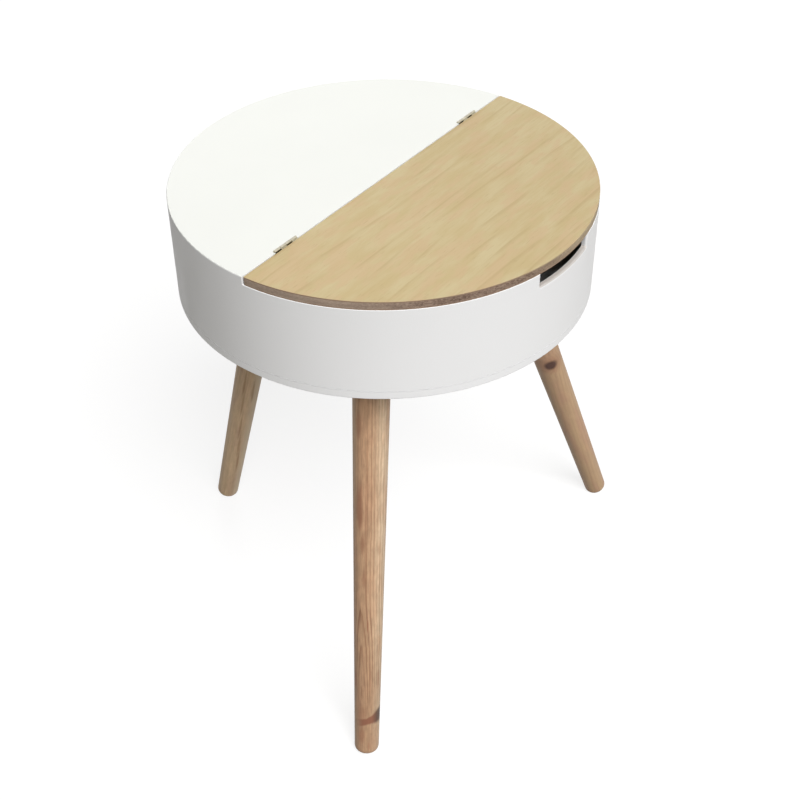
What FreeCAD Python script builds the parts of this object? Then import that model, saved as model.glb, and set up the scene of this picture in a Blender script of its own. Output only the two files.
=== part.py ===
import FreeCAD, Part
import math
import os
from collections import namedtuple

Vector = FreeCAD.Vector

# A round end table: a shallow drum on three splayed legs, with half of its top hinged as a lid.
# Lengths are in millimetres and angles in degrees. +Z is up and the floor is z = 0. The drum's
# axis is the Z axis, the lid's seam runs along X and the lid covers the half towards -Y.

# Overall sizes
table_height = 512.0
drum_diameter = 400.0
drum_height = 102.0

# Drum boards and bent wall
bottom_thickness = 8.0
top_thickness = 8.0
wall_thickness = 5.0
board_arris = 0.8          # rounding of the painted boards' outer edges
joint_arris = 0.4          # eased edges of the wall, at the bottom panel and under the lid
finger_slot_width = 76.0
finger_slot_offset = -3.0  # along X, from the lid's middle to the slot's
finger_slot_depth = 14.0
finger_slot_corner = 1.5
finger_slot_arris = 1.8    # rounding of the slot's outer edge

# Lid
seam_gap = 1.0             # between the lid's straight edge and the fixed half
lid_inset = 0.5            # how far the lid's round edge lies inside the wall's outer face
veneer_thickness = 0.9
lid_corner_radius = 1.2
lid_arris = 0.25           # eased upper edge of the veneer

# Blind dowels between the wall and the boards
dowel_diameter = 3.0
dowel_length = 12.0
dowel_in_board = 5.0
dowel_clearance = 0.05
dowel_end_gap = 0.5
bottom_dowel_count = 10
top_dowel_count = 6
top_dowel_margin = 14.0    # angle from the seam to the first dowel under the fixed half

# Turned legs; a bearing is measured from +X towards +Y, a foot's overhang from the drum's rim
leg_top_diameter = 36.0
leg_foot_diameter = 24.4
leg_mount_inset = 69.0     # from the drum's rim to where a leg's axis meets the underside
leg_top_chamfer = 1.0
foot_round_share = 0.3     # rounding of the turned end, of the foot's diameter
foot_allowance = 0.5       # length past the floor, along the axis, that is cut off level
front_left_bearing = -148.95
front_left_foot_overhang = 63.0
front_right_bearing = -28.15
front_right_foot_overhang = 83.6
rear_bearing = 94.75
rear_foot_overhang = 34.0

# Angled leg plates and their screws
plate_width = 62.0
plate_thickness = 2.5
plate_corner = 9.0
plate_boss_diameter = 26.0
plate_boss_length = 12.0   # along the leg's axis, from the underside to the leg's seat
plate_screw_inset = 8.0    # from the plate's sides to its screws
plate_screw_diameter = 3.5
plate_screw_depth = 6.5    # into the bottom panel
plate_screw_head_diameter = 7.0
plate_screw_head_height = 2.2
plate_screw_clearance = 0.25
pilot_clearance = 0.05
pilot_end_gap = 0.5

# Hanger bolts
bolt_diameter = 8.0
bolt_in_plate = 9.0
bolt_in_leg = 32.0
bolt_tip_length = 6.0
bolt_clearance = 0.1
bolt_tip_share = 0.35

# Butt hinges, one near each end of the seam
hinge_length = 29.5
hinge_inset = 59.0         # from the drum's rim to a hinge's middle, along the seam
knuckle_count = 4          # shared evenly between a hinge's two leaves
knuckle_gap = 0.3
barrel_diameter = 2.8
leaf_thickness = 0.9
leaf_margin = 0.5          # between a leaf's lower edge and the board's underside
axis_rise = 0.3            # height of the pin's axis above the top
hinge_clearance = 0.3      # round the barrel, towards the fixed half and the other leaf
barrel_gap = 1.1           # between the barrel and the lid's edge
pin_diameter = 1.4
pin_clearance = 0.03
hinge_screw_diameter = 2.0
hinge_screw_length = 9.0
hinge_screw_tip_length = 1.5
hinge_screw_tip_share = 0.3
hinge_screw_spacing = 18.0

# Working allowances
overrun = 5.0              # how far a cutting tool passes its work
tolerance = 0.001

drum_radius = drum_diameter / 2
wall_inner_radius = drum_radius - wall_thickness
wall_middle_radius = drum_radius - wall_thickness / 2
underside_z = table_height - drum_height
wall_bottom_z = underside_z + bottom_thickness
wall_top_z = table_height - top_thickness
wall_height = wall_top_z - wall_bottom_z
lid_edge_y = -seam_gap / 2
fixed_edge_y = seam_gap / 2

barrel_radius = barrel_diameter / 2
barrel_reach = barrel_radius + hinge_clearance
hinge_y = lid_edge_y + barrel_radius + barrel_gap
hinge_z = table_height + axis_rise
mortise_y = hinge_y + barrel_reach
leaf_bottom_z = wall_top_z + leaf_margin
leaf_relief = math.sqrt(barrel_reach ** 2 - (barrel_reach - leaf_thickness) ** 2)
leaf_top_z = hinge_z - leaf_relief
hinge_screw_z = (leaf_bottom_z + leaf_top_z) / 2
hinge_screw_head_diameter = hinge_screw_diameter + leaf_thickness * 2
hinge_centres = {"left": hinge_inset - drum_radius, "right": drum_radius - hinge_inset}

along_x = Vector(1, 0, 0)
along_y = Vector(0, 1, 0)
along_z = Vector(0, 0, 1)


def edges_at_height(shape, z):
    return [edge for edge in shape.Edges if all(abs(v.Z - z) < tolerance for v in edge.Vertexes)]


def upright_edges(shape):
    def upright(edge):
        ends = edge.Vertexes
        return len(ends) == 2 and abs(ends[0].X - ends[1].X) + abs(ends[0].Y - ends[1].Y) < tolerance
    return [edge for edge in shape.Edges if upright(edge)]


def round_edges_of_radius(edges, radius):
    arcs = [edge for edge in edges if edge.Curve.TypeId == "Part::GeomCircle"]
    return [edge for edge in arcs if abs(edge.Curve.Radius - radius) < tolerance]


def on_circle(radius, angle, z):
    turn = math.radians(angle)
    return Vector(radius * math.cos(turn), radius * math.sin(turn), z)


def half_space(z, upwards):
    """A block above or below a level, wider than the table."""
    span = (table_height + drum_diameter) * 2
    start_z = z if upwards else z - span
    return Part.makeBox(span, span, span, Vector(-span / 2, -span / 2, start_z))


def half_disc(radius, edge_y, bottom_z, thickness):
    """Half of the round top, on the side of the seam that its straight edge lies on."""
    side = 1 if edge_y > 0 else -1
    end_x = math.sqrt(radius ** 2 - edge_y ** 2)
    left = Vector(-end_x, edge_y, bottom_z)
    right = Vector(end_x, edge_y, bottom_z)
    arc = Part.Arc(left, Vector(0, side * radius, bottom_z), right).toShape()
    straight = Part.makeLine(right, left)
    return Part.Face(Part.Wire([arc, straight])).extrude(along_z * thickness)


# Dowels

def bottom_dowel_angles():
    step = 360 / bottom_dowel_count
    return [step * (index + 1 / 2) for index in range(bottom_dowel_count)]


def top_dowel_angles():
    step = (180 - top_dowel_margin * 2) / (top_dowel_count - 1)
    return [top_dowel_margin + step * index for index in range(top_dowel_count)]


def dowels(angles, start_z):
    places = [on_circle(wall_middle_radius, angle, start_z) for angle in angles]
    pegs = [Part.makeCylinder(dowel_diameter / 2, dowel_length, place) for place in places]
    return Part.makeCompound(pegs)


def dowel_holes(angles, start_z):
    radius = dowel_diameter / 2 + dowel_clearance
    depth = dowel_length + dowel_end_gap * 2
    places = [on_circle(wall_middle_radius, angle, start_z - dowel_end_gap) for angle in angles]
    return [Part.makeCylinder(radius, depth, place) for place in places]


bottom_dowel_z = wall_bottom_z - dowel_in_board
top_dowel_z = wall_top_z + dowel_in_board - dowel_length


# Legs and their fittings

LegLine = namedtuple("LegLine", "bearing head length placement")


def leg_line(bearing, foot_overhang):
    """The axis of a leg, from the drum's underside to the floor, as a placement along +Z."""
    head = on_circle(drum_radius - leg_mount_inset, bearing, underside_z)
    run = on_circle(drum_radius + foot_overhang, bearing, 0) - head
    lean = FreeCAD.Rotation(along_y, 180 - math.degrees(math.atan2(math.hypot(run.x, run.y), -run.z)))
    placement = FreeCAD.Placement(head, FreeCAD.Rotation(along_z, bearing) * lean)
    return LegLine(bearing, head, run.Length, placement)


leg_lines = {
    "front_left": leg_line(front_left_bearing, front_left_foot_overhang),
    "front_right": leg_line(front_right_bearing, front_right_foot_overhang),
    "rear": leg_line(rear_bearing, rear_foot_overhang),
}


def rod(line, radius, start, end):
    """A cylinder along a leg's axis, between two distances from the drum's underside."""
    shape = Part.makeCylinder(radius, end - start, along_z * start)
    shape.Placement = line.placement
    return shape


def turned_leg(line):
    end = line.length + foot_allowance
    blank = Part.makeCone(leg_top_diameter / 2, leg_foot_diameter / 2, end - plate_boss_length,
                          along_z * plate_boss_length)
    blank = blank.makeChamfer(leg_top_chamfer, edges_at_height(blank, plate_boss_length))
    blank = blank.makeFillet(leg_foot_diameter * foot_round_share, edges_at_height(blank, end))
    blank.Placement = line.placement
    leg = blank.cut(half_space(0, upwards=False))
    hole_end = plate_boss_length + bolt_in_leg + pilot_end_gap
    return leg.cut(rod(line, bolt_diameter / 2 + bolt_clearance, plate_boss_length - overrun, hole_end))


def plate_screw_places(line):
    offset = plate_width / 2 - plate_screw_inset
    corners = [(x, y) for x in (-offset, offset) for y in (-offset, offset)]
    turn = FreeCAD.Rotation(along_z, line.bearing)
    return [line.head + turn.multVec(Vector(x, y, 0)) for x, y in corners]


def leg_plate(line):
    flange = Part.makeBox(plate_width, plate_width, plate_thickness,
                          Vector(-plate_width / 2, -plate_width / 2, -plate_thickness))
    flange = flange.makeFillet(plate_corner, upright_edges(flange))
    flange.Placement = FreeCAD.Placement(line.head, FreeCAD.Rotation(along_z, line.bearing))
    boss = rod(line, plate_boss_diameter / 2, -plate_boss_diameter, plate_boss_length)
    plate = flange.fuse(boss.cut(half_space(underside_z, upwards=True)))
    bore = rod(line, bolt_diameter / 2 + bolt_clearance, -plate_boss_diameter, plate_boss_length + overrun)
    hole_radius = plate_screw_diameter / 2 + plate_screw_clearance
    holes = [Part.makeCylinder(hole_radius, plate_thickness + overrun * 2,
                               place - along_z * (plate_thickness + overrun))
             for place in plate_screw_places(line)]
    return plate.cut([bore] + holes)


def hanger_bolt(line):
    tip_start = plate_boss_length + bolt_in_leg - bolt_tip_length
    shank = rod(line, bolt_diameter / 2, plate_boss_length - bolt_in_plate, tip_start)
    tip = Part.makeCone(bolt_diameter / 2, bolt_diameter / 2 * bolt_tip_share, bolt_tip_length,
                        along_z * tip_start)
    tip.Placement = line.placement
    return shank.fuse(tip).removeSplitter()


def plate_screw(place):
    """A pan-head screw driven up through the plate into the bottom panel."""
    seat = place - along_z * plate_thickness
    shank = Part.makeCylinder(plate_screw_diameter / 2, plate_thickness + plate_screw_depth, seat)
    head = Part.makeCylinder(plate_screw_head_diameter / 2, plate_screw_head_height,
                             seat - along_z * plate_screw_head_height)
    lower_rim = edges_at_height(head, seat.z - plate_screw_head_height)
    head = head.makeFillet(plate_screw_head_height / 2, lower_rim)
    return shank.fuse(head).removeSplitter()


all_plate_screw_places = [place for line in leg_lines.values() for place in plate_screw_places(line)]


# Hinges

knuckle_pitch = hinge_length / knuckle_count
fixed_knuckles = range(0, knuckle_count, 2)
lid_knuckles = range(1, knuckle_count, 2)


def hinge_leaf(centre_x, outer_y, knuckles):
    """A leaf on edge against a board, with its share of the barrel's knuckles at its top."""
    start_x = centre_x - hinge_length / 2
    low_y = outer_y if outer_y < hinge_y else outer_y - leaf_thickness
    leaf = Part.makeBox(hinge_length, leaf_thickness, leaf_top_z - leaf_bottom_z,
                        Vector(start_x, low_y, leaf_bottom_z))
    for index in knuckles:
        x = start_x + knuckle_pitch * index + knuckle_gap / 2
        length = knuckle_pitch - knuckle_gap
        tongue = Part.makeBox(length, abs(outer_y - hinge_y), table_height - leaf_top_z,
                              Vector(x, min(outer_y, hinge_y), leaf_top_z))
        knuckle = Part.makeCylinder(barrel_radius, length, Vector(x, hinge_y, hinge_z), along_x)
        leaf = leaf.fuse([tongue, knuckle])
    bore = Part.makeCylinder(pin_diameter / 2 + pin_clearance, hinge_length + overrun * 2,
                             Vector(start_x - overrun, hinge_y, hinge_z), along_x)
    holes = [hinge_screw(place, outer_y, pilot_clearance) for place in leaf_screw_places(centre_x, outer_y)]
    return leaf.cut([bore] + holes).removeSplitter()


def leaf_screw_places(centre_x, outer_y):
    """Points on a leaf's inner face, where the screw heads lie flush."""
    inner_y = outer_y + leaf_thickness * (1 if outer_y < hinge_y else -1)
    return [Vector(centre_x + side * hinge_screw_spacing / 2, inner_y, hinge_screw_z) for side in (-1, 1)]


def hinge_screw(place, outer_y, clearance=0):
    """A countersunk screw into the edge of a board, or with a clearance the hole for it."""
    inwards = -along_y if outer_y < hinge_y else along_y
    shank_radius = hinge_screw_diameter / 2 + clearance
    head_radius = hinge_screw_head_diameter / 2 + clearance
    shank_end = hinge_screw_length - hinge_screw_tip_length
    head = Part.makeCone(head_radius, shank_radius, leaf_thickness, place, inwards)
    shank = Part.makeCylinder(shank_radius, shank_end, place, inwards)
    tip_radius = shank_radius * hinge_screw_tip_share
    tip = Part.makeCone(shank_radius, tip_radius, hinge_screw_tip_length + clearance,
                        place + inwards * shank_end, inwards)
    return head.fuse([shank, tip]).removeSplitter()


def hinge_pin(centre_x):
    return Part.makeCylinder(pin_diameter / 2, hinge_length,
                             Vector(centre_x - hinge_length / 2, hinge_y, hinge_z), along_x)


def edge_screws(outer_y, clearance=0):
    """All the hinge screws, or their holes, in the board whose leaves lie at this face."""
    return [hinge_screw(place, outer_y, clearance)
            for centre_x in hinge_centres.values() for place in leaf_screw_places(centre_x, outer_y)]


# Drum and lid

def bottom_panel():
    panel = Part.makeCylinder(drum_radius, bottom_thickness, along_z * underside_z)
    panel = panel.makeFillet(board_arris, edges_at_height(panel, underside_z))
    pilot_radius = plate_screw_diameter / 2 + pilot_clearance
    pilots = [Part.makeCylinder(pilot_radius, plate_screw_depth + pilot_end_gap, place)
              for place in all_plate_screw_places]
    return panel.cut(pilots + dowel_holes(bottom_dowel_angles(), bottom_dowel_z))


def finger_slot():
    """The pull under the front of the lid, open at the top of the wall."""
    ledge_z = wall_top_z - finger_slot_depth
    start = Vector(finger_slot_offset - finger_slot_width / 2, -drum_radius - overrun, ledge_z)
    tool = Part.makeBox(finger_slot_width, drum_radius + overrun, finger_slot_depth + overrun, start)
    corners = [edge for edge in edges_at_height(tool, ledge_z)
               if abs(edge.Vertexes[0].X - edge.Vertexes[1].X) < tolerance]
    return tool.makeFillet(finger_slot_corner, corners)


def slot_rim(hoop):
    """The slot's edges on the wall's outer face, below its upper rim."""
    lowest_z = wall_bottom_z + joint_arris + tolerance
    highest_z = wall_top_z - joint_arris - tolerance

    def on_rim(edge):
        points = edge.discretize(3)
        outside = all(abs(math.hypot(p.x, p.y) - drum_radius) < tolerance for p in points)
        return outside and lowest_z < points[1].z < highest_z

    return [edge for edge in hoop.Edges if on_rim(edge)]


def lid_rest_bevel():
    """What is eased off the wall's outer edge under the lid; the joint at the fixed half stays closed."""
    start = along_z * (wall_top_z - joint_arris)
    ring = Part.makeCylinder(drum_radius + overrun, joint_arris, start).cut(
        Part.makeCone(drum_radius, drum_radius - joint_arris, joint_arris, start))
    span = drum_diameter + overrun * 4
    return ring.common(Part.makeBox(span, span / 2, joint_arris, start + Vector(-span / 2, -span / 2, 0)))


def drum_wall():
    foot = along_z * wall_bottom_z
    hoop = Part.makeCylinder(drum_radius, wall_height, foot).cut(
        Part.makeCylinder(wall_inner_radius, wall_height, foot))
    lower_rim = round_edges_of_radius(edges_at_height(hoop, wall_bottom_z), drum_radius)
    hoop = hoop.makeChamfer(joint_arris, lower_rim)
    hoop = hoop.cut([lid_rest_bevel(), finger_slot()])
    hoop = hoop.makeFillet(finger_slot_arris, slot_rim(hoop))
    lower_holes = dowel_holes(bottom_dowel_angles(), bottom_dowel_z)
    return hoop.cut(lower_holes + dowel_holes(top_dowel_angles(), top_dowel_z))


def fixed_top():
    board = half_disc(drum_radius, fixed_edge_y, wall_top_z, top_thickness)
    rim = round_edges_of_radius(edges_at_height(board, table_height), drum_radius)
    board = board.makeFillet(board_arris, rim + upright_edges(board))
    mortise_length = hinge_length + hinge_clearance * 2
    mortises = [Part.makeBox(mortise_length, mortise_y + overrun, top_thickness + overrun * 2,
                             Vector(centre_x - mortise_length / 2, -overrun, wall_top_z - overrun))
                for centre_x in hinge_centres.values()]
    holes = dowel_holes(top_dowel_angles(), top_dowel_z) + edge_screws(mortise_y, pilot_clearance)
    return board.cut(mortises + holes)


def lid_layer(bottom_z, thickness):
    layer = half_disc(drum_radius - lid_inset, lid_edge_y, bottom_z, thickness)
    return layer.makeFillet(lid_corner_radius, upright_edges(layer))


def lid_core():
    core = lid_layer(wall_top_z + veneer_thickness, top_thickness - veneer_thickness * 2)
    return core.cut(edge_screws(lid_edge_y, pilot_clearance))


def lid_top_veneer():
    sheet = lid_layer(table_height - veneer_thickness, veneer_thickness)
    return sheet.makeFillet(lid_arris, edges_at_height(sheet, table_height))


pieces = {
    "bottom_panel": bottom_panel(),
    "drum_wall": drum_wall(),
    "fixed_top": fixed_top(),
    "bottom_dowels": dowels(bottom_dowel_angles(), bottom_dowel_z),
    "top_dowels": dowels(top_dowel_angles(), top_dowel_z),
    "leg_plate_screws": Part.makeCompound([plate_screw(place) for place in all_plate_screw_places]),
    "lid_core": lid_core(),
    "lid_top_veneer": lid_top_veneer(),
    "lid_balancing_veneer": lid_layer(wall_top_z, veneer_thickness),
    "hinge_fixed_screws": Part.makeCompound(edge_screws(mortise_y)),
    "hinge_lid_screws": Part.makeCompound(edge_screws(lid_edge_y)),
}
for corner, line in leg_lines.items():
    pieces["leg_" + corner] = turned_leg(line)
    pieces["leg_plate_" + corner] = leg_plate(line)
    pieces["hanger_bolt_" + corner] = hanger_bolt(line)
for end, centre_x in hinge_centres.items():
    pieces["hinge_fixed_leaf_" + end] = hinge_leaf(centre_x, mortise_y, fixed_knuckles)
    pieces["hinge_lid_leaf_" + end] = hinge_leaf(centre_x, lid_edge_y, lid_knuckles)
    pieces["hinge_pin_" + end] = hinge_pin(centre_x)

os.makedirs("parts", exist_ok=True)
for name, shape in pieces.items():
    shape.exportStep("parts/" + name + ".step")
    state = "valid" if shape.isValid() else "INVALID"
    print(name, len(shape.Solids), "solids", round(shape.Volume), "mm3", state)
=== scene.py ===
import math

import bmesh
import bpy
from mathutils import Color, Matrix, Vector


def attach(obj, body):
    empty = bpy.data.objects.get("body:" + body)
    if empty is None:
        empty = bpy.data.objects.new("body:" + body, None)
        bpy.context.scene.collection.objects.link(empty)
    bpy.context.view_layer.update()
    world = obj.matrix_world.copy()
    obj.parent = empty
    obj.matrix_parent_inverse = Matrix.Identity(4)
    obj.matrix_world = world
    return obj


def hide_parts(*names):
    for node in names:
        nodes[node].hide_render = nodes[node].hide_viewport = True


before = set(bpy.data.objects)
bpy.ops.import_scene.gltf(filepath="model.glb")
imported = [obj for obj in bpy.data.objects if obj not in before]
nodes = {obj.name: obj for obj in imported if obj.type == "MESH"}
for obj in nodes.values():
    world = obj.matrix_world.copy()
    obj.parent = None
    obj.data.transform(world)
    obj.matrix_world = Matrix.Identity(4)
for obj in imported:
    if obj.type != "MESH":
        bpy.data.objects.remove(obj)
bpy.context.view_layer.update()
scene = bpy.context.scene
print("frame loaded,", len(nodes), "CAD nodes")


# small helpers for node trees

def onScreen(red, green, blue):  # a colour as a screen shows it, 0 to 255
    tone = Color((red / 255, green / 255, blue / 255)).from_srgb_to_scene_linear()
    return (tone.r, tone.g, tone.b, 1.0)


def feed(tree, value, socket):  # links a socket, or sets it to a plain value
    if isinstance(value, bpy.types.NodeSocket):
        tree.links.new(value, socket)
    else:
        socket.default_value = value


def put(tree, kind, inputs=None, **settings):
    node = tree.nodes.new(kind)
    for name, value in settings.items():
        setattr(node, name, value)
    for name, value in (inputs or {}).items():
        feed(tree, value, node.inputs[name])
    return node


def calc(tree, operation, first, second=0.0, third=0.0):
    values = {0: first, 1: second, 2: third}
    return put(tree, "ShaderNodeMath", values, operation=operation).outputs[0]


def total(tree, first, *others):
    for other in others:
        first = calc(tree, "ADD", first, other)
    return first


def product(tree, first, *others):
    for other in others:
        first = calc(tree, "MULTIPLY", first, other)
    return first


def between(tree, share, first, second):  # first where the share is 0, second where it is 1
    return calc(tree, "MULTIPLY_ADD", share, calc(tree, "SUBTRACT", second, first), first)


def lengthOf(tree, *parts):
    squares = [product(tree, part, part) for part in parts]
    return calc(tree, "SQRT", total(tree, *squares))


def offBy(tree, value, middle):  # distance to a middle value, on either side of it
    return calc(tree, "ABSOLUTE", calc(tree, "SUBTRACT", value, middle))


def remap(tree, value, low, high, start=0.0, end=1.0):  # smooth step, start at low and end at high
    ends = {"Value": value, "From Min": low, "From Max": high, "To Min": start, "To Max": end}
    return put(tree, "ShaderNodeMapRange", ends, interpolation_type="SMOOTHSTEP").outputs["Result"]


def within(tree, value, low, high, blur):  # 1 between two values, 0 outside them
    rise = remap(tree, value, low - blur, low)
    return product(tree, rise, remap(tree, value, high, high + blur, 1.0, 0.0))


def split(tree, vector):
    return put(tree, "ShaderNodeSeparateXYZ", {"Vector": vector}).outputs


def noise(tree, vector, plan):  # a plan gives the scale along each axis, the detail and how rough it is
    placed = put(tree, "ShaderNodeMapping", {"Vector": vector, "Scale": plan["scale"]})
    settings = {"Vector": placed.outputs["Vector"], "Scale": 1.0, "Detail": plan["detail"]}
    settings["Roughness"] = plan.get("rough", 0.5)
    return put(tree, "ShaderNodeTexNoise", settings).outputs["Fac"]


def pattern(tree, vector, plan, *ends):  # a noise, sent through the smooth step of its plan
    return remap(tree, noise(tree, vector, plan), *plan["step"], *ends)


def mixed(tree, share, first, second, mode="MIX"):
    sides = {0: share, 6: first, 7: second}
    return put(tree, "ShaderNodeMix", sides, data_type="RGBA", blend_type=mode).outputs[2]


def toned(tree, colour, shade):  # a colour times a value
    return mixed(tree, 1.0, colour, shade, "MULTIPLY")


def ramp(tree, share, stops):
    node = put(tree, "ShaderNodeValToRGB", {"Fac": share})
    edges = node.color_ramp.elements
    edges[0].position, edges[0].color = stops[0]
    edges[-1].position, edges[-1].color = stops[-1]
    for place, colour in stops[1:-1]:
        edges.new(place).color = colour
    return node.outputs["Color"]


def newSurface(name, constants):
    material = bpy.data.materials.new(name)
    material.use_nodes = True
    tree = material.node_tree
    shader = tree.nodes["Principled BSDF"]
    for socket, value in constants.items():
        shader.inputs[socket].default_value = value
    place = put(tree, "ShaderNodeTexCoord").outputs["Object"]
    return material, tree, shader, place


def finishSurface(tree, shader, colour, roughness, height, depth):
    feed(tree, colour, shader.inputs["Base Color"])
    feed(tree, roughness, shader.inputs["Roughness"])
    relief = put(tree, "ShaderNodeBump", {"Strength": 1.0, "Distance": depth, "Height": height})
    feed(tree, relief.outputs["Normal"], shader.inputs["Normal"])


def dress(material, *names):
    for name in names:
        surfaces = nodes[name].data.materials
        surfaces.clear()
        surfaces.append(material)


# camera, at the photograph's place

cameraView = {
    "place": (-0.88366, -0.65826, 1.15502),
    "looking": (0.623698, 0.452612, -0.637300),
    "right": (0.587334, -0.809346, 0.0),
    "roll": -0.0066,  # small turn of the frame, as a sine
    "lens": 61.10,
    "sensor": 36.0,
}


def addCamera(look):
    looking, right = Vector(look["looking"]).normalized(), Vector(look["right"]).normalized()
    up = right.cross(looking)
    across = (right + up * look["roll"]).normalized()
    up = across.cross(looking).normalized()
    data = bpy.data.cameras.new("photoCamera")
    data.lens, data.sensor_width = look["lens"], look["sensor"]
    camera = bpy.data.objects.new("photoCamera", data)
    turn = Matrix((across, up, -looking)).transposed().to_4x4()
    camera.matrix_world = Matrix.Translation(look["place"]) @ turn
    scene.collection.objects.link(camera)
    scene.camera = camera


addCamera(cameraView)


# studio: a soft key from the camera's right, a weaker one behind, an even fill, a pale floor

studio = {
    "lamps": {  # where each comes from, degrees from +X and above the floor
        "softKey": {"bearing": -117.0, "height": 49.0, "strength": 3.61, "spread": 40.0},
        "backFill": {"bearing": 40.0, "height": 10.0, "strength": 1.6, "spread": 30.0},
    },
    "fill": 0.12,
    "fillTone": (0.985, 0.950, 0.878, 1.0),
    "backdrop": (1.0, 1.0, 1.0, 1.0),
    "floorSize": 14.0,
    "floorDrop": 0.0002,
    "floorGlow": 0.80,  # what the camera sees of the floor, besides its own lit colour
    "floorShown": (0.24, 0.24, 0.24, 1.0),
    "floorBounce": (0.290, 0.278, 0.253, 1.0),
}


def seenDirectly(tree):  # camera, glossy and transmission rays
    path = put(tree, "ShaderNodeLightPath").outputs
    reflected = calc(tree, "MAXIMUM", path["Is Glossy Ray"], path["Is Transmission Ray"])
    return calc(tree, "MAXIMUM", path["Is Camera Ray"], reflected)


def addWorld(look):
    scene.view_settings.view_transform = "Standard"
    world = bpy.data.worlds.new("studioWorld")
    world.use_nodes = True
    scene.world = world
    tree = world.node_tree
    direct = seenDirectly(tree)
    sky = tree.nodes["Background"].inputs
    feed(tree, mixed(tree, direct, look["fillTone"], look["backdrop"]), sky["Color"])
    feed(tree, between(tree, direct, look["fill"], 1.0), sky["Strength"])


def addLamps(look):
    for name, lamp in look["lamps"].items():
        data = bpy.data.lights.new(name, "SUN")
        data.energy, data.angle = lamp["strength"], math.radians(lamp["spread"])
        light = bpy.data.objects.new(name, data)
        bearing, height = math.radians(lamp["bearing"]), math.radians(lamp["height"])
        level = math.cos(height)
        source = Vector((math.cos(bearing) * level, math.sin(bearing) * level, math.sin(height)))
        light.rotation_euler = source.to_track_quat("Z", "Y").to_euler()
        light.visible_glossy = False  # gloss shows the white room, so the white top doesn't clip
        scene.collection.objects.link(light)


def floorMaterial(look):
    material = bpy.data.materials.new("paleFloor")
    material.use_nodes = True
    tree = material.node_tree
    glow = put(tree, "ShaderNodeEmission", {"Strength": look["floorGlow"]}).outputs[0]
    lit = put(tree, "ShaderNodeBsdfDiffuse", {"Color": look["floorShown"]}).outputs[0]
    shown = put(tree, "ShaderNodeAddShader", {0: glow, 1: lit}).outputs[0]
    bounce = put(tree, "ShaderNodeBsdfDiffuse", {"Color": look["floorBounce"]}).outputs[0]
    upper = put(tree, "ShaderNodeMixShader", {0: seenDirectly(tree), 1: bounce, 2: shown}).outputs[0]
    clear = put(tree, "ShaderNodeBsdfTransparent").outputs[0]
    underside = put(tree, "ShaderNodeNewGeometry").outputs["Backfacing"]  # lets views from below through
    whole = put(tree, "ShaderNodeMixShader", {0: underside, 1: upper, 2: clear}).outputs[0]
    feed(tree, whole, tree.nodes["Material Output"].inputs["Surface"])
    return material


def addFloor(look):
    half, level = look["floorSize"] / 2, -look["floorDrop"]
    corners = [(-half, -half, level), (half, -half, level), (half, half, level), (-half, half, level)]
    mesh = bpy.data.meshes.new("paleFloor")
    mesh.from_pydata(corners, [], [(0, 1, 2, 3)])
    mesh.materials.append(floorMaterial(look))
    floor = bpy.data.objects.new("paleFloor", mesh)
    scene.collection.objects.link(floor)


addWorld(studio)
addLamps(studio)
addFloor(studio)
print("camera and studio ready")


# white lacquer on the drum, a matt coat inside its well

lacquer = {
    "top": (0.874, 0.885, 0.848, 1.0),
    "rimHeights": (0.5112, 0.5118),  # the top's own tone begins at its rounded rim
    "wall": (0.854, 0.857, 0.867, 1.0),
    "jointHeights": (0.4172, 0.4181),  # shaded line where the wall meets the bottom board
    "jointShade": 0.93,
    "cutEdge": (0.500, 0.452, 0.410, 1.0),  # thinner coat where the finger slot is cut, with painted shade, darkest at its inner edge under the lid
    # painted shade also dims the slot's rounded outer rim, against its highlight
    "cutRim": (0.560, 0.528, 0.500, 1.0),
    "edgeRadius": (0.1952, 0.1986),  # from the cut's edge to its rim
    "rimRadius": (0.19955, 0.19995, 1.0, 0.0),
    "slotHeights": (0.4186, 0.4915),
    "cutEndsPaintedLight": (0.680, 0.635, 0.600, 1.0),  # painted light, paler on the slot's two end faces where the lid shades them
    "slotMiddle": -0.003,
    "slotEnds": (0.0375, 0.0379),
    "lining": (0.800, 0.805, 0.790, 1.0),  # the matt coat
    "liningRadius": (0.1952, 0.1953, 1.0, 0.0),
    "wellHeights": (0.4176, 0.5042),  # lowest and highest lined surfaces
    "liningRoughness": 0.85,
    "blur": 0.0001,
    "cloud": {"scale": (9, 9, 9), "detail": 3.0, "step": (0.3, 0.7, 0.988, 1.0)},  # faintly uneven coat
    "sheen": {"scale": (26, 26, 14), "detail": 4.0, "rough": 0.6, "step": (0.25, 0.75, 0.37, 0.47)},
    "peel": {"scale": (620, 620, 620), "detail": 2.0},  # orange peel
    "wave": {"scale": (38, 38, 38), "detail": 1.0},
    "specular": 0.12,
    "relief": 0.00005,
}


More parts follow.
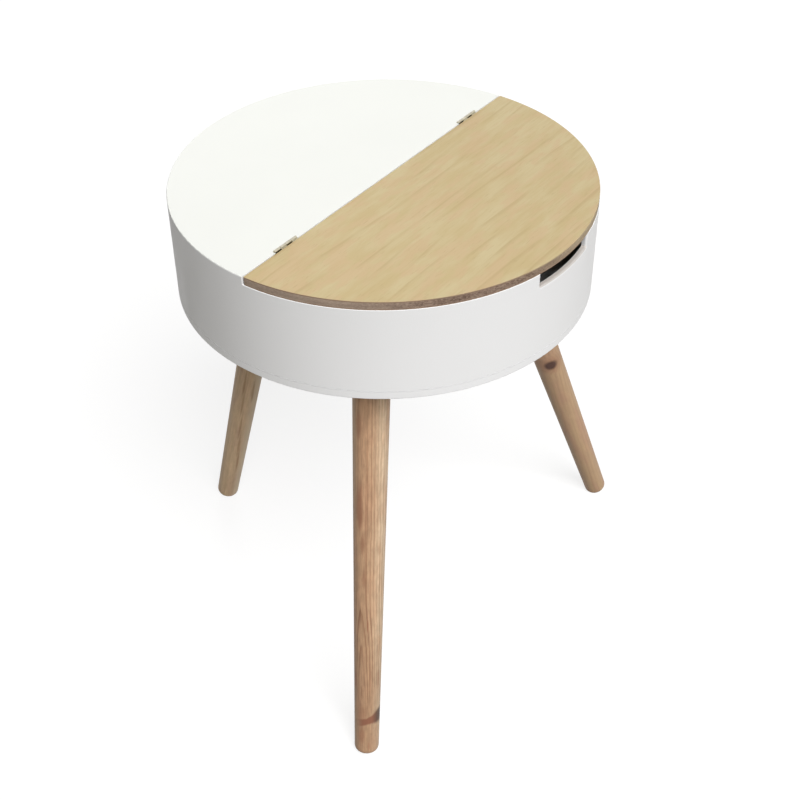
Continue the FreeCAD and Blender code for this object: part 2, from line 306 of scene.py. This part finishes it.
def whiteLacquer(name, look):
    material, tree, shader, place = newSurface(name, {"Specular IOR Level": look["specular"]})
    x, y, height = split(tree, place)
    radius = lengthOf(tree, x, y)
    # the slot's cut: a thinner coat, with painted shade from its inner edge out to its rim
    cutTone = mixed(tree, remap(tree, radius, *look["edgeRadius"]), look["cutEdge"], look["cutRim"])
    fromMiddle = offBy(tree, x, look["slotMiddle"])
    # painted light on the slot's two end faces, against the lid's shade on them
    cutTone = mixed(tree, remap(tree, fromMiddle, *look["slotEnds"]), cutTone, look["cutEndsPaintedLight"])
    cut = product(tree, remap(tree, radius, *look["rimRadius"]),
                  within(tree, height, *look["slotHeights"], look["blur"]))
    colour = mixed(tree, cut, look["wall"], cutTone)
    colour = mixed(tree, remap(tree, height, *look["rimHeights"]), colour, look["top"])
    joint = within(tree, height, *look["jointHeights"], look["blur"])
    shade = between(tree, joint, 1.0, look["jointShade"])
    colour = toned(tree, colour, product(tree, pattern(tree, place, look["cloud"]), shade))
    inside = product(tree, remap(tree, radius, *look["liningRadius"]),
                     within(tree, height, *look["wellHeights"], look["blur"]))
    colour = mixed(tree, inside, colour, look["lining"])
    roughness = between(tree, inside, pattern(tree, place, look["sheen"]), look["liningRoughness"])
    coat = total(tree, noise(tree, place, look["peel"]), noise(tree, place, look["wave"]))
    finishSurface(tree, shader, colour, roughness, coat, look["relief"])
    return material


dress(whiteLacquer("whiteLacquer", lacquer), "fixed_top", "drum_wall", "bottom_panel")
print("drum lacquered")


# oak veneer on the lid, a plainer sheet under it

veneer = {
    "pale": onScreen(204, 188, 147),
    "deep": onScreen(198, 178, 134),
    "rosy": onScreen(204, 177, 139),
    "line": onScreen(184, 161, 118),
    "pore": onScreen(176, 152, 110),
    "band": {"scale": (15, 55, 55), "detail": 3.0, "rough": 0.6, "step": (0.33, 0.68)},
    "blush": {"scale": (36, 85, 85), "detail": 2.0, "step": (0.44, 0.64, 0.0, 0.65)},
    "lineSpacing": 0.017,
    "lineRise": (0.70, 0.95),  # shares of the spacing
    "lineFall": (0.95, 1.0, 1.0, 0.0),
    "wander": {"scale": (2.4, 7, 7), "detail": 2.0},
    "wanderSpan": 3.6,  # in spacings
    "broken": {"scale": (13, 60, 60), "detail": 2.0, "step": (0.42, 0.64, 0.0, 0.55)},
    "fibre": {"scale": (34, 620, 620), "detail": 3.0, "rough": 0.6},
    "fibreTone": (0.46, 0.72, 0.0, 0.20),
    "fibreRelief": 0.4,
    "pores": {"scale": (90, 1300, 1300), "detail": 1.0, "step": (0.66, 0.76)},
    "poreShare": 0.45,
    "toneAlong": (-0.16, 0.18, 1.0, 0.94),  # a little darker towards the far end
    "cutEdge": onScreen(144, 121, 102),  # the sheet's own edge, sanded with the board's
    "cutRadius": (0.19915, 0.19930),
    "cleanAlong": (-0.085, -0.015, 1.0, 0.25),  # cleaner towards the front of the right side
    "sheen": (0.3, 0.7, 0.41, 0.53),
    "specular": 0.2,
    "relief": 0.00005,
}
balancing = dict(
    veneer,
    pale=onScreen(160, 138, 114),
    deep=onScreen(146, 124, 102),
    rosy=onScreen(156, 128, 106),
    line=onScreen(128, 106, 84),
    pore=onScreen(116, 94, 74),
    sheen=(0.3, 0.7, 0.53, 0.65),
    relief=0.00007,
)


def oakVeneer(name, look):
    material, tree, shader, place = newSurface(name, {"Specular IOR Level": look["specular"]})
    along, across, _ = split(tree, place)
    colour = mixed(tree, pattern(tree, place, look["band"]), look["pale"], look["deep"])
    colour = mixed(tree, pattern(tree, place, look["blush"]), colour, look["rosy"])
    sway = product(tree, noise(tree, place, look["wander"]), look["wanderSpan"])
    share = calc(tree, "FRACT", total(tree, calc(tree, "DIVIDE", across, look["lineSpacing"]), sway))
    line = product(tree, remap(tree, share, *look["lineRise"]), remap(tree, share, *look["lineFall"]))
    colour = mixed(tree, product(tree, line, pattern(tree, place, look["broken"])), colour, look["line"])
    fibre = noise(tree, place, look["fibre"])
    colour = mixed(tree, remap(tree, fibre, *look["fibreTone"]), colour, look["line"])
    pore = pattern(tree, place, look["pores"])
    colour = mixed(tree, product(tree, pore, look["poreShare"]), colour, look["pore"])
    colour = toned(tree, colour, remap(tree, along, *look["toneAlong"]))
    cut = remap(tree, lengthOf(tree, along, across), *look["cutRadius"])
    cut = product(tree, cut, remap(tree, along, *look["cleanAlong"]))
    colour = mixed(tree, cut, colour, look["cutEdge"])
    roughness = remap(tree, fibre, *look["sheen"])
    height = calc(tree, "SUBTRACT", product(tree, fibre, look["fibreRelief"]), pore)
    finishSurface(tree, shader, colour, roughness, height, look["relief"])
    return material


dress(oakVeneer("paleOakVeneer", veneer), "lid_top_veneer")
dress(oakVeneer("balancingVeneer", balancing), "lid_balancing_veneer")


# raw fibreboard at the lid's edge

fibreboard = {
    "dark": onScreen(104, 85, 74),
    "mid": onScreen(135, 113, 99),
    "pale": onScreen(160, 140, 124),
    "toneStops": (0.43, 0.50, 0.57),  # of dark, mid and pale fibres
    "patch": {"scale": (55, 55, 130), "detail": 3.0, "rough": 0.6},
    "patchShare": 0.30,
    "fibre": {"scale": (420, 420, 1500), "detail": 3.0, "rough": 0.7},
    "speck": {"scale": (1500, 1500, 2600), "detail": 1.0},
    "speckTone": (0.60, 0.72, 0.0, 0.45),
    "faded": onScreen(176, 158, 142),  # paler towards the left end of the seam
    "fadeAlong": (-0.198, -0.110, 0.6, 0.0),
    "bleached": onScreen(196, 180, 150),  # and towards the front of the right side
    "bleachAlong": (-0.080, 0.050, 0.0, 0.66),
    "dimAlong": (-0.110, -0.075),  # a darker stretch between the two
    "dimBlur": 0.03,
    "dimShare": 0.15,
    "coreHeight": 0.5072,  # the board is paler towards its two faces
    "coreShade": (0.0004, 0.0028, 0.98, 1.09),
    "roughness": 0.88,
    "specular": 0.2,
    "relief": 0.00018,
}


def rawFibreboard(name, look):
    material, tree, shader, place = newSurface(name, {"Specular IOR Level": look["specular"]})
    along, _, height = split(tree, place)
    fibre, speck = noise(tree, place, look["fibre"]), noise(tree, place, look["speck"])
    blend = between(tree, look["patchShare"], fibre, noise(tree, place, look["patch"]))
    tones = look["dark"], look["mid"], look["pale"]
    colour = ramp(tree, blend, list(zip(look["toneStops"], tones)))
    colour = mixed(tree, remap(tree, speck, *look["speckTone"]), colour, look["dark"])
    colour = mixed(tree, remap(tree, along, *look["fadeAlong"]), colour, look["faded"])
    dim = product(tree, within(tree, along, *look["dimAlong"], look["dimBlur"]), look["dimShare"])
    colour = mixed(tree, dim, colour, look["dark"])
    colour = mixed(tree, remap(tree, along, *look["bleachAlong"]), colour, look["bleached"])
    fromCore = offBy(tree, height, look["coreHeight"])
    colour = toned(tree, colour, remap(tree, fromCore, *look["coreShade"]))
    finishSurface(tree, shader, colour, look["roughness"], total(tree, fibre, speck), look["relief"])
    return material


dress(rawFibreboard("rawFibreboard", fibreboard), "lid_core")
print("lid veneered")


# turned pine legs, each from its own plank

pine = {
    "headRadius": 0.131,  # where a leg's axis meets the drum's underside
    "headHeight": 0.410,
    "facing": (-0.003, 0.003, 1.0, 0.0),  # the side towards the photograph
    "sway": {"scale": (45, 45, 9), "detail": 2.0},
    "swaySpan": 1.5,  # in rings
    "lateFull": 0.88,  # shares of a ring, where its late wood is darkest and where it ends
    "lateFall": (0.90, 1.0, 1.0, 0.0),
    "grainFade": {"scale": (190, 190, 6), "detail": 2.0, "step": (0.35, 0.65)},  # rings come and go
    "warmth": {"scale": (80, 80, 22), "detail": 2.0, "step": (0.42, 0.68)},
    "streaks": {"scale": (130, 130, 6), "detail": 3.0, "rough": 0.6, "step": (0.48, 0.72)},
    "mottling": {"scale": (170, 170, 85), "detail": 3.0, "rough": 0.65, "step": (0.3, 0.7)},
    "fibre": {"scale": (720, 720, 60), "detail": 3.0, "rough": 0.6},
    "fibreStep": (0.28, 0.72),
    "fibreLift": 1 / 3,  # how much pale fibres stand out, next to dark ones
    "ragged": {"scale": (190, 190, 60), "detail": 3.0},  # edges of stains and knots
    "raggedSpan": 0.9,
    "sheen": (0.3, 0.7, 0.44, 0.58),
    "lateRelief": 0.4,
    "specular": 0.3,
    "relief": 0.00006,
}
legs = {
    "front_left": {
        "bearing": -148.95, "footRadius": 0.263, "plankPlace": (0.3, 0.1, 0.62),
        # heart and paler sap wood, also painting light and shade: darker on the leg's left side, paler on
        # its right
        "heart": onScreen(195, 157, 124), "sapAndPaintedLight": onScreen(226, 201, 170), "sapAndPaintedLightFrom": (0.006, 0.019),
        "warm": onScreen(200, 158, 126), "warmShare": 0.6,
        "late": onScreen(148, 107, 80), "lateFrom": 0.45, "ringWidth": 0.0019,
        "streak": onScreen(172, 132, 104), "streakShare": 0.30,
        "pith": (-0.0048, -0.0125), "lean": (0.002, 0.0325),
        "bend": {"height": 0.165, "blend": 0.04, "drift": (0.0, -0.0141)},  # straighter rings above it
        "grain": (0.30, 0.90), "grainAlong": [(0.035, 0.080), (0.16, 0.26, 1.0, 0.68)],
        "fibreShade": 0.19, "mottle": 0.15, "footShadeAlong": (0.02, 0.22, 0.84, 1.0),
        "stainTone": onScreen(146, 101, 77),
        "stains": [  # place across and along, half width, half length, strength
            (-0.0095, 0.280, 0.0036, 0.030, 0.80), (-0.0112, 0.364, 0.0028, 0.018, 0.60),
            (-0.0106, 0.392, 0.0014, 0.008, 0.60), (-0.0064, 0.241, 0.0030, 0.012, 0.55),
            (-0.0046, 0.204, 0.0026, 0.013, 0.50), (-0.0035, 0.268, 0.0008, 0.050, 0.45),
            (-0.0003, 0.152, 0.0010, 0.009, 0.75), (-0.0116, 0.088, 0.0014, 0.013, 0.70),
            (0.0106, 0.088, 0.0010, 0.014, 0.55), (0.0030, 0.095, 0.0008, 0.024, 0.40),
            (-0.0045, 0.051, 0.0058, 0.011, 0.42), (-0.0052, 0.024, 0.0040, 0.012, 0.55),
            (0.0020, 0.011, 0.0012, 0.006, 0.45),
        ],
        "spike": {
            "tone": onScreen(130, 84, 66), "dark": onScreen(60, 39, 33), "darkAcross": (0.004, 0.0118),
            "level": 0.0427, "slope": (0.387, 0.0875), "startAcross": (-0.0120, -0.0030),
            "halfThick": (0.002, 0.0125, 0.0044, 0.0092), "tip": (0.001, 0.011, 1.0, 0.0), "tipThick": 0.1,
            "ragged": 0.5, "fade": (0.55, 1.1, 1.0, 0.0), "share": 0.9,
        },
    },
    "front_right": {
        "bearing": -28.15, "footRadius": 0.2836, "plankPlace": (4.1, 2.0, 1.3),
        "heart": onScreen(184, 154, 121), "warm": onScreen(182, 146, 119), "warmShare": 1.0,
        "late": onScreen(163, 131, 103), "lateFrom": 0.20, "ringWidth": 0.0046,
        "streak": onScreen(162, 128, 104), "streakShare": 0.30,
        "pith": (0.050, 0.020), "lean": (0.020, 0.020), "grain": (0.10, 0.45),
        "fibreShade": 0.07, "mottle": 0.05, "footShadeAlong": (0.0, 0.20, 0.96, 1.0),
        "knot": {
            "place": (0.0030, 0.2503), "size": (0.0094, 0.0086), "ragged": 0.2, "ringShift": 1.1,
            "halo": onScreen(146, 104, 82), "haloReach": (0.7, 2.0, 1.0, 0.0), "haloShare": 0.5,
            "dark": onScreen(78, 52, 43), "darkReach": (0.45, 1.0, 1.0, 0.0),
        },
    },
    "rear": {
        "bearing": 94.75, "footRadius": 0.234, "plankPlace": (8.4, 5.2, 0.4),
        "heart": onScreen(218, 189, 153), "warm": onScreen(206, 174, 144), "warmShare": 1.0,
        "late": onScreen(176, 144, 113), "lateFrom": 0.20, "ringWidth": 0.0052,
        "streak": onScreen(172, 136, 106), "streakShare": 0.25,
        "pith": (-0.030, 0.030), "lean": (0.040, -0.010), "grain": (0.10, 0.40),
        "fibreShade": 0.11, "mottle": 0.09, "footShadeAlong": (0.0, 0.24, 0.88, 1.0),
        "paleSide": {"tone": onScreen(226, 210, 184), "across": (0.002, 0.012, 0.0, 0.55)},
        "stainTone": onScreen(140, 100, 72),
        "stains": [
            (-0.0036, 0.208, 0.0015, 0.028, 0.55), (-0.0018, 0.172, 0.0015, 0.028, 0.48),
            (0.0004, 0.138, 0.0015, 0.028, 0.48), (0.0026, 0.104, 0.0015, 0.028, 0.48),
            (0.0046, 0.074, 0.0015, 0.024, 0.58), (0.0072, 0.196, 0.0018, 0.020, 0.48),
        ],
    },
}
stainFade = (0.3, 1.2)  # from full strength to none, in half sizes


def legFrame(look):  # origin at the foot, z up the leg, x to the photograph's right
    turn = math.radians(look["bearing"])
    outwards = Vector((math.cos(turn), math.sin(turn), 0.0))
    foot = outwards * look["footRadius"]
    up = (outwards * pine["headRadius"] + Vector((0.0, 0.0, pine["headHeight"])) - foot).normalized()
    right = Vector(cameraView["right"])
    right = (right - up * right.dot(up)).normalized()
    return foot, Matrix((right, up.cross(right), up)).transposed().to_euler()


def legSpot(tree, place, look):  # where a point lies on its leg, and what most marks there need
    foot, turn = legFrame(look)
    placing = {"Vector": place, "Location": foot, "Rotation": turn}
    own = put(tree, "ShaderNodeMapping", placing, vector_type="TEXTURE").outputs["Vector"]
    spot = dict(zip(("across", "away", "along"), split(tree, own)))
    shift = {0: own, 1: look["plankPlace"]}
    spot["plank"] = put(tree, "ShaderNodeVectorMath", shift, operation="ADD").outputs["Vector"]
    uneven, span = noise(tree, spot["plank"], pine["ragged"]), pine["raggedSpan"]
    spot["ragged"] = calc(tree, "MULTIPLY_ADD", uneven, span, -span / 2)
    spot["facing"] = remap(tree, spot["away"], *pine["facing"])
    return spot


def fromPith(tree, spot, look):  # the pith leans, and a bent one drifts on its own way above the bend
    bend = look.get("bend")
    lower = spot["along"]
    if bend:
        lower = calc(tree, "SMOOTH_MIN", spot["along"], bend["height"], bend["blend"])
        upper = calc(tree, "SUBTRACT", spot["along"], lower)
    offsets = []
    for axis, side in enumerate((spot["across"], spot["away"])):
        heartLine = calc(tree, "MULTIPLY_ADD", lower, look["lean"][axis], look["pith"][axis])
        if bend:
            heartLine = calc(tree, "MULTIPLY_ADD", upper, bend["drift"][axis], heartLine)
        offsets.append(calc(tree, "SUBTRACT", side, heartLine))
    return lengthOf(tree, *offsets)


def farFrom(tree, spot, middle, size):  # 0 at the middle of an oval, 1 at its edge
    offAcross = calc(tree, "DIVIDE", calc(tree, "SUBTRACT", spot["across"], middle[0]), size[0])
    offAlong = calc(tree, "DIVIDE", calc(tree, "SUBTRACT", spot["along"], middle[1]), size[1])
    return lengthOf(tree, offAcross, offAlong)


def knotMarks(tree, spot, knot):  # a branch cut across, as a halo and a dark heart
    uneven = product(tree, spot["ragged"], knot["ragged"])
    reach = total(tree, farFrom(tree, spot, knot["place"], knot["size"]), uneven)
    halo = product(tree, remap(tree, reach, *knot["haloReach"]), spot["facing"])
    dark = product(tree, remap(tree, reach, *knot["darkReach"]), spot["facing"])
    return halo, dark


def stained(tree, spot, colour, look):  # resin streaks and stains
    for x, z, halfWidth, halfLength, strength in look["stains"]:
        reach = total(tree, farFrom(tree, spot, (x, z), (halfWidth, halfLength)), spot["ragged"])
        stain = product(tree, remap(tree, reach, *stainFade, strength, 0.0), spot["facing"])
        colour = mixed(tree, stain, colour, look["stainTone"])
    return colour


def spiked(tree, spot, colour, spike):  # a branch cut lengthwise, a band with a dark end round the leg
    across, away = spot["across"], spot["away"]
    rise = total(tree, product(tree, across, spike["slope"][0]), product(tree, away, spike["slope"][1]))
    off = offBy(tree, spot["along"], total(tree, rise, spike["level"]))
    tip = remap(tree, away, *spike["tip"])
    thick = product(tree, remap(tree, across, *spike["halfThick"]), total(tree, tip, spike["tipThick"]))
    reach = total(tree, calc(tree, "DIVIDE", off, thick), product(tree, spot["ragged"], spike["ragged"]))
    start = remap(tree, across, *spike["startAcross"])
    band = product(tree, remap(tree, reach, *spike["fade"]), start, tip, spike["share"])
    tone = mixed(tree, remap(tree, across, *spike["darkAcross"]), spike["tone"], spike["dark"])
    return mixed(tree, band, colour, tone)


def turnedPine(name, look):
    material, tree, shader, place = newSurface(name, {"Specular IOR Level": pine["specular"]})
    spot = legSpot(tree, place, look)
    plank, along = spot["plank"], spot["along"]
    radius = fromPith(tree, spot, look)
    sway = product(tree, noise(tree, plank, pine["sway"]), pine["swaySpan"])
    rings = total(tree, calc(tree, "DIVIDE", radius, look["ringWidth"]), sway)
    knot = look.get("knot")
    if knot:  # the rings bend round it
        halo, dark = knotMarks(tree, spot, knot)
        rings = total(tree, rings, product(tree, halo, knot["ringShift"]))
    share = calc(tree, "FRACT", rings)
    lateWood = product(tree, remap(tree, share, look["lateFrom"], pine["lateFull"]),
                       remap(tree, share, *pine["lateFall"]))
    grain = product(tree, lateWood, pattern(tree, plank, pine["grainFade"], *look["grain"]))
    for step in look.get("grainAlong", []):
        grain = product(tree, grain, remap(tree, along, *step))

    colour = look["heart"]
    # pale sap wood away from the pith, partly painted light on the leg's right side, against the heart's
    # painted shade on its left
    if "sapAndPaintedLight" in look:
        colour = mixed(tree, remap(tree, radius, *look["sapAndPaintedLightFrom"]), colour, look["sapAndPaintedLight"])
    warmth = pattern(tree, plank, pine["warmth"], 0.0, look["warmShare"])
    colour = mixed(tree, warmth, colour, look["warm"])
    colour = mixed(tree, grain, colour, look["late"])
    streak = pattern(tree, plank, pine["streaks"], 0.0, look["streakShare"])
    colour = mixed(tree, streak, colour, look["streak"])
    fibre = noise(tree, plank, pine["fibre"])
    darkest, palest = 1.0 - look["fibreShade"], 1.0 + look["fibreShade"] * pine["fibreLift"]
    shade = remap(tree, fibre, *pine["fibreStep"], darkest, palest)
    footShade = remap(tree, along, *look["footShadeAlong"])  # painted shade, darker towards the foot
    mottle = pattern(tree, plank, pine["mottling"], 1.0 - look["mottle"], 1.0)
    colour = toned(tree, colour, product(tree, shade, footShade, mottle))

    paleSide = look.get("paleSide")
    if paleSide:
        paler = product(tree, remap(tree, spot["across"], *paleSide["across"]), shade)
        colour = mixed(tree, paler, colour, paleSide["tone"])
    if "stains" in look:
        colour = stained(tree, spot, colour, look)
    if knot:
        colour = mixed(tree, product(tree, halo, knot["haloShare"]), colour, knot["halo"])
        colour = mixed(tree, dark, colour, knot["dark"])
    if "spike" in look:
        colour = spiked(tree, spot, colour, look["spike"])
    roughness = remap(tree, fibre, *pine["sheen"])
    height = total(tree, fibre, product(tree, lateWood, pine["lateRelief"]))
    finishSurface(tree, shader, colour, roughness, height, pine["relief"])
    return material


for corner, look in legs.items():
    dress(turnedPine("pine_" + corner, look), "leg_" + corner)
print("legs turned in pine")


# beech dowels, zinc plate and pale nickel fittings

beech = {
    "pale": onScreen(212, 182, 148),
    "fleck": onScreen(178, 138, 104),
    "flecks": {"scale": (1400, 1400, 160), "detail": 2.0},
    "fleckTone": (0.5, 0.7),
    "specular": 0.25,
    "roughness": 0.7,
    "relief": 0.00005,
}
zincPlate = {
    "bright": (0.66, 0.67, 0.68, 1.0),
    "dull": (0.50, 0.51, 0.52, 1.0),
    "dullTone": (0.35, 0.68),
    "grain": {"scale": (130, 130, 130), "detail": 4.0, "rough": 0.65},
    "scuff": {"scale": (780, 78, 130), "detail": 2.0},
    "sheen": (0.3, 0.7, 0.26, 0.46),
    "relief": 0.00002,
}
paleNickel = dict(
    zincPlate,
    bright=(0.71, 0.67, 0.54, 1.0),
    dull=(0.54, 0.50, 0.39, 1.0),
    grain={"scale": (420, 420, 420), "detail": 4.0, "rough": 0.65},
    scuff={"scale": (2520, 252, 420), "detail": 2.0},
    relief=0.000015,
)


def bareBeech(name, look):
    material, tree, shader, place = newSurface(name, {"Specular IOR Level": look["specular"]})
    fleck = noise(tree, place, look["flecks"])
    colour = mixed(tree, remap(tree, fleck, *look["fleckTone"]), look["pale"], look["fleck"])
    finishSurface(tree, shader, colour, look["roughness"], fleck, look["relief"])
    return material


def platedSteel(name, look):
    material, tree, shader, place = newSurface(name, {"Metallic": 1.0})
    grain, scuff = noise(tree, place, look["grain"]), noise(tree, place, look["scuff"])
    colour = mixed(tree, remap(tree, grain, *look["dullTone"]), look["bright"], look["dull"])
    roughness = remap(tree, scuff, *look["sheen"])
    finishSurface(tree, shader, colour, roughness, total(tree, grain, scuff), look["relief"])
    return material


zinc = platedSteel("brightZinc", zincPlate)
nickel = platedSteel("paleNickel", paleNickel)
dress(bareBeech("bareBeech", beech), "bottom_dowels", "top_dowels")
for corner in legs:
    dress(zinc, "leg_plate_" + corner, "hanger_bolt_" + corner)
for end in ("left", "right"):
    dress(nickel, "hinge_fixed_leaf_" + end, "hinge_lid_leaf_" + end, "hinge_pin_" + end)
print("fittings plated")


# cross-recess screws, grown on their seats by Geometry Nodes

screwSizes = {
    "plate": {
        "Head Radius": 0.0035, "Under Share": 1.0, "Head Height": 0.0022, "Round Share": 0.5,
        "Shank Radius": 0.00175, "Recess Reach": 0.0019, "Recess Width": 0.0008, "Recess Depth": 0.0012,
    },
    "hinge": {
        "Head Radius": 0.0019, "Under Share": 0.526, "Head Height": 0.0009, "Round Share": 0.04,
        "Shank Radius": 0.0010, "Recess Reach": 0.0011, "Recess Width": 0.00045, "Recess Depth": 0.0006,
    },
}
screwForm = {
    "head": {"Vertices": 28, "Side Segments": 3, "Fill Segments": 5, "Radius": 1.0, "Depth": 1.0},
    "shank": {"Vertices": 18, "Side Segments": 10, "Radius": 1.0, "Depth": 1.0},
    "point": (0.75, 1.0, 1.0, 0.3),  # the shank narrows over its last quarter
    "neckShare": 0.6,  # of the head's height, where the shank starts
}
screwSets = [
    {"piece": "leg_plate_cross_screws", "node": "leg_plate_screws", "body": "table", "sizes": "plate",
     "drive": (0, 0, 1), "finish": zinc, "slot": "zinc_steel", "seed": 3},
    {"piece": "hinge_fixed_cross_screws", "node": "hinge_fixed_screws", "body": "table", "sizes": "hinge",
     "drive": (0, 1, 0), "finish": nickel, "slot": "hinge_steel", "seed": 5},
    {"piece": "hinge_lid_cross_screws", "node": "hinge_lid_screws", "body": "lid", "sizes": "hinge",
     "drive": (0, -1, 0), "finish": nickel, "slot": "hinge_steel", "seed": 8},
]
weldGap = 1e-6  # corners nearer than this are one


def looseBoxes(node):  # lowest and highest corner of each loose screw in a CAD group
    shell = bmesh.new()
    shell.from_mesh(nodes[node].data)
    bmesh.ops.remove_doubles(shell, verts=shell.verts, dist=weldGap)
    waiting, boxes = set(shell.verts), []
    while waiting:
        reached = [waiting.pop()]
        for vert in reached:
            nearby = {edge.other_vert(vert) for edge in vert.link_edges} & waiting
            waiting -= nearby
            reached.extend(nearby)
        corners = list(zip(*(vert.co for vert in reached)))
        boxes.append(([min(row) for row in corners], [max(row) for row in corners]))
    shell.free()
    return sorted(boxes)


def meshSpot(tree):
    return split(tree, put(tree, "GeometryNodeInputPosition").outputs[0])


def reshaped(tree, sides, widen, rise):  # a unit cylinder with its rings scaled and set at new heights
    mesh = put(tree, "GeometryNodeMeshCylinder", sides).outputs["Mesh"]
    x, y, _ = meshSpot(tree)
    parts = {0: product(tree, x, widen), 1: product(tree, y, widen), 2: rise}
    spot = put(tree, "ShaderNodeCombineXYZ", parts).outputs[0]
    return put(tree, "GeometryNodeSetPosition", {"Geometry": mesh, "Position": spot}).outputs[0]


def screwHead(tree, given):
    x, y, z = meshSpot(tree)
    face = calc(tree, "SUBTRACT", 0.5, z)  # 1 at the head's face, 0 at its seat
    rim = calc(tree, "POWER", total(tree, product(tree, x, x), product(tree, y, y)), 2.0)
    crown = calc(tree, "SUBTRACT", 1.0, product(tree, rim, given["Round Share"]))
    rise = calc(tree, "SUBTRACT", 1.0, product(tree, face, crown))
    widen = product(tree, between(tree, face, given["Under Share"], 1.0), given["Head Radius"])
    return reshaped(tree, screwForm["head"], widen, product(tree, rise, given["Head Height"]))


def screwShank(tree, given):
    down = total(tree, meshSpot(tree)[2], 0.5)  # 0 at the neck, 1 at the point
    neck = screwForm["neckShare"]
    start = product(tree, given["Head Height"], neck)
    reach = total(tree, given["Shank Length"], product(tree, given["Head Height"], 1.0 - neck))
    widen = product(tree, remap(tree, down, *screwForm["point"]), given["Shank Radius"])
    return reshaped(tree, screwForm["shank"], widen, calc(tree, "MULTIPLY_ADD", down, reach, start))


def crossCut(tree, given, screw):
    cross = put(tree, "GeometryNodeMeshBoolean", {0: screw}, operation="DIFFERENCE", solver="EXACT")
    depth = product(tree, given["Recess Depth"], 2.0)  # the upper half of each bar stands clear
    sides = product(tree, given["Recess Reach"], 2.0), given["Recess Width"]
    for wide, narrow in (sides, sides[::-1]):
        size = put(tree, "ShaderNodeCombineXYZ", {0: wide, 1: narrow, 2: depth}).outputs[0]
        bar = put(tree, "GeometryNodeMeshCube", {"Size": size}).outputs["Mesh"]
        tree.links.new(bar, cross.inputs[1])
    return cross.outputs[0]


def onSeats(tree, given, screw):  # a screw on each seat, each turned by its own angle
    points = put(tree, "GeometryNodeMeshToPoints", {0: given["Seats"]}).outputs[0]
    aim = put(tree, "FunctionNodeAlignRotationToVector", {"Vector": given["Drive"]}, axis="Z").outputs[0]
    seating = {"Points": points, "Instance": screw, "Rotation": aim}
    placed = put(tree, "GeometryNodeInstanceOnPoints", seating).outputs[0]
    turns = {2: 0.0, 3: math.pi / 2, 8: given["Seed"]}
    angle = put(tree, "FunctionNodeRandomValue", turns, data_type="FLOAT").outputs[1]
    twist = put(tree, "FunctionNodeAxisAngleToRotation", {"Axis": (0, 0, 1), "Angle": angle}).outputs[0]
    turned = put(tree, "GeometryNodeRotateInstances", {"Instances": placed, "Rotation": twist}).outputs[0]
    return put(tree, "GeometryNodeRealizeInstances", {0: turned}).outputs[0]


def screwTree():
    tree = bpy.data.node_groups.new("crossRecessScrews", "GeometryNodeTree")
    kinds = {"Seats": "Geometry", **dict.fromkeys(screwSizes["plate"], "Float"), "Shank Length": "Float",
             "Drive": "Vector", "Seed": "Int", "Finish": "Material"}
    for name, kind in kinds.items():
        tree.interface.new_socket(name, in_out="INPUT", socket_type="NodeSocket" + kind)
    tree.interface.new_socket("Screws", in_out="OUTPUT", socket_type="NodeSocketGeometry")
    given = tree.nodes.new("NodeGroupInput").outputs
    body = put(tree, "GeometryNodeMeshBoolean", operation="UNION", solver="EXACT")
    for mesh in (screwHead(tree, given), screwShank(tree, given)):
        tree.links.new(mesh, body.inputs[1])
    screws = onSeats(tree, given, crossCut(tree, given, body.outputs[0]))
    coating = {"Geometry": screws, "Material": given["Finish"]}
    coated = put(tree, "GeometryNodeSetMaterial", coating).outputs[0]
    feed(tree, coated, tree.nodes.new("NodeGroupOutput").inputs[0])
    return tree


def driveScrews(tree, plan):
    drive, seats, lengths = Vector(plan["drive"]), [], []
    for low, high in looseBoxes(plan["node"]):
        middle, span = (Vector(low) + Vector(high)) / 2, Vector(high) - Vector(low)
        length = abs(span.dot(drive))
        seats.append(middle - drive * length / 2)
        lengths.append(length)
    mesh = bpy.data.meshes.new(plan["piece"])
    mesh.from_pydata(seats, [], [])
    screws = bpy.data.objects.new(plan["piece"], mesh)
    scene.collection.objects.link(screws)
    values = dict(screwSizes[plan["sizes"]], Drive=plan["drive"], Seed=plan["seed"], Finish=plan["finish"])
    values["Shank Length"] = max(lengths) - values["Head Height"]
    grower = screws.modifiers.new("growScrews", "NODES")
    grower.node_group = tree
    for port in tree.interface.items_tree:
        if port.in_out == "INPUT" and port.name in values:
            grower[port.identifier] = values[port.name]
    bpy.context.view_layer.update()
    grown = screws.evaluated_get(bpy.context.evaluated_depsgraph_get())
    finished = bpy.data.meshes.new_from_object(grown)
    screws.modifiers.remove(grower)
    screws.data = finished
    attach(screws, plan["body"])
    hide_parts(plan["node"])
    print(plan["piece"], len(seats), "screws,", len(finished.polygons), "faces")


grownScrews = screwTree()
for plan in screwSets:
    driveScrews(grownScrews, plan)

print("scene ready")
